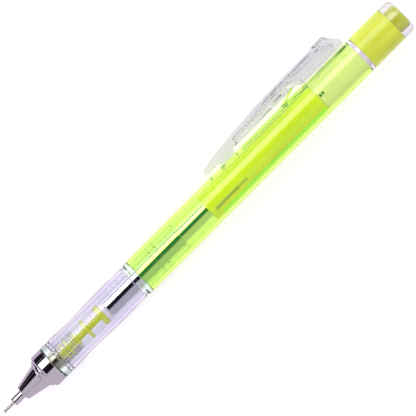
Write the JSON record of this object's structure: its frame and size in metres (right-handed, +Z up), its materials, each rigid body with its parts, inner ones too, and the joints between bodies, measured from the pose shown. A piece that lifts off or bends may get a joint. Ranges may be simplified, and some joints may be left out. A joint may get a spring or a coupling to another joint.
{
  "type": "mechanical_pencil",
  "caption": "Shaker mechanical pencil with a clear coloured barrel, tinted soft grip, stepped metal nose, side clip that knocks and locks, and a twist-out eraser; it lies on its barrel and clip",
  "frame": {"origin": "middle of the pencil's length and of its width, on the surface that it lies on", "axes": "+X from the tip to the eraser end, +Z up from the table, the clip hangs below level on the +Y side"},
  "size_m": [0.148, 0.016, 0.0106],
  "materials": {
    "lead_pipe": "satin drawn steel",
    "nose": "bright plated metal",
    "retainer": "matt rubber",
    "lead": "matt graphite",
    "chuck_brass": "turned brass",
    "cage": "satin plated steel",
    "spring": "drawn wire",
    "mechanism": "smooth moulded plastic",
    "striker": "smooth white plastic",
    "lead_tube": "smooth white plastic",
    "weight": "bright plated metal",
    "carrier": "translucent coloured plastic",
    "clear_plastic": "clear moulded plastic",
    "grip": "clear tinted soft grip",
    "barrel": "clear coloured moulded plastic",
    "clip": "clear moulded plastic",
    "tray": "smooth white plastic",
    "eraser": "soft white eraser",
    "knob": "translucent coloured plastic"
  },
  "bodies": {
    "barrel": {"barrel": "barrel", "grip_core": "clear_plastic", "grip_skin": "grip", "nose_cone": "nose", "lead_pipe": "lead_pipe", "lead_retainer": "retainer", "spring_cage": "cage", "return_spring": "spring", "eraser_sleeve": "clear_plastic"},
    "knock": {"carrier": "carrier", "lead_tube": "lead_tube", "striker_collar": "striker", "guide_tube": "mechanism", "chuck": "chuck_brass"},
    "clutch": {"clutch_ring": "chuck_brass"},
    "weight": {"shaker_weight": "weight"},
    "lead": {"lead": "lead"},
    "clip_slider": {"clip_base": "clip"},
    "clip": {"clip_arm": "clip"},
    "knob": {"twist_knob": "knob", "end_cap": "clear_plastic"},
    "eraser": {"eraser_tray": "tray", "eraser": "eraser"}
  },
  "joints": [
    {"name": "knock_slide", "type": "slide", "parent": "barrel", "child": "knock", "axis": [-1, 0, 0], "range_m": [0, 0.003], "stiffness_N_per_m": 600, "springref_m": -0.0015, "deforming": ["return_spring"]},
    {"name": "clutch_slide", "type": "slide", "parent": "barrel", "child": "clutch", "axis": [-1, 0, 0], "range_m": [0, 0.0012]},
    {"name": "lead_feed", "type": "slide", "parent": "barrel", "child": "lead", "axis": [-1, 0, 0], "range_m": [0, 0.003]},
    {"name": "weight_shake", "type": "slide", "parent": "knock", "child": "weight", "axis": [1, 0, 0], "range_m": [0, 0.008]},
    {"name": "feed_lock", "type": "slide", "parent": "knock", "child": "clip_slider", "axis": [1, 0, 0], "range_m": [0, 0.002]},
    {"name": "clip_flex", "type": "hinge", "parent": "clip_slider", "child": "clip", "pos_m": [0.0377, 0.00703, 0.00204], "axis": [0, -0.3169, -0.9484], "range_deg": [0, 4], "stiffness_Nm_per_rad": 1.2},
    {"name": "knob_turn", "type": "hinge", "parent": "barrel", "child": "knob", "pos_m": [0.064, -0.00273, 0.0053], "axis": [-1, 0, 0], "range_deg": [0, 720]},
    {"name": "eraser_slide", "type": "slide", "parent": "barrel", "child": "eraser", "axis": [1, 0, 0], "range_m": [0, 0.008]}
  ],
  "couplings": [
    {"joint": "clutch_slide", "follows": "knock_slide", "ratio": 0.4},
    {"joint": "knob_turn", "follows": "eraser_slide", "rad_per_m": 1570.8}
  ]
}
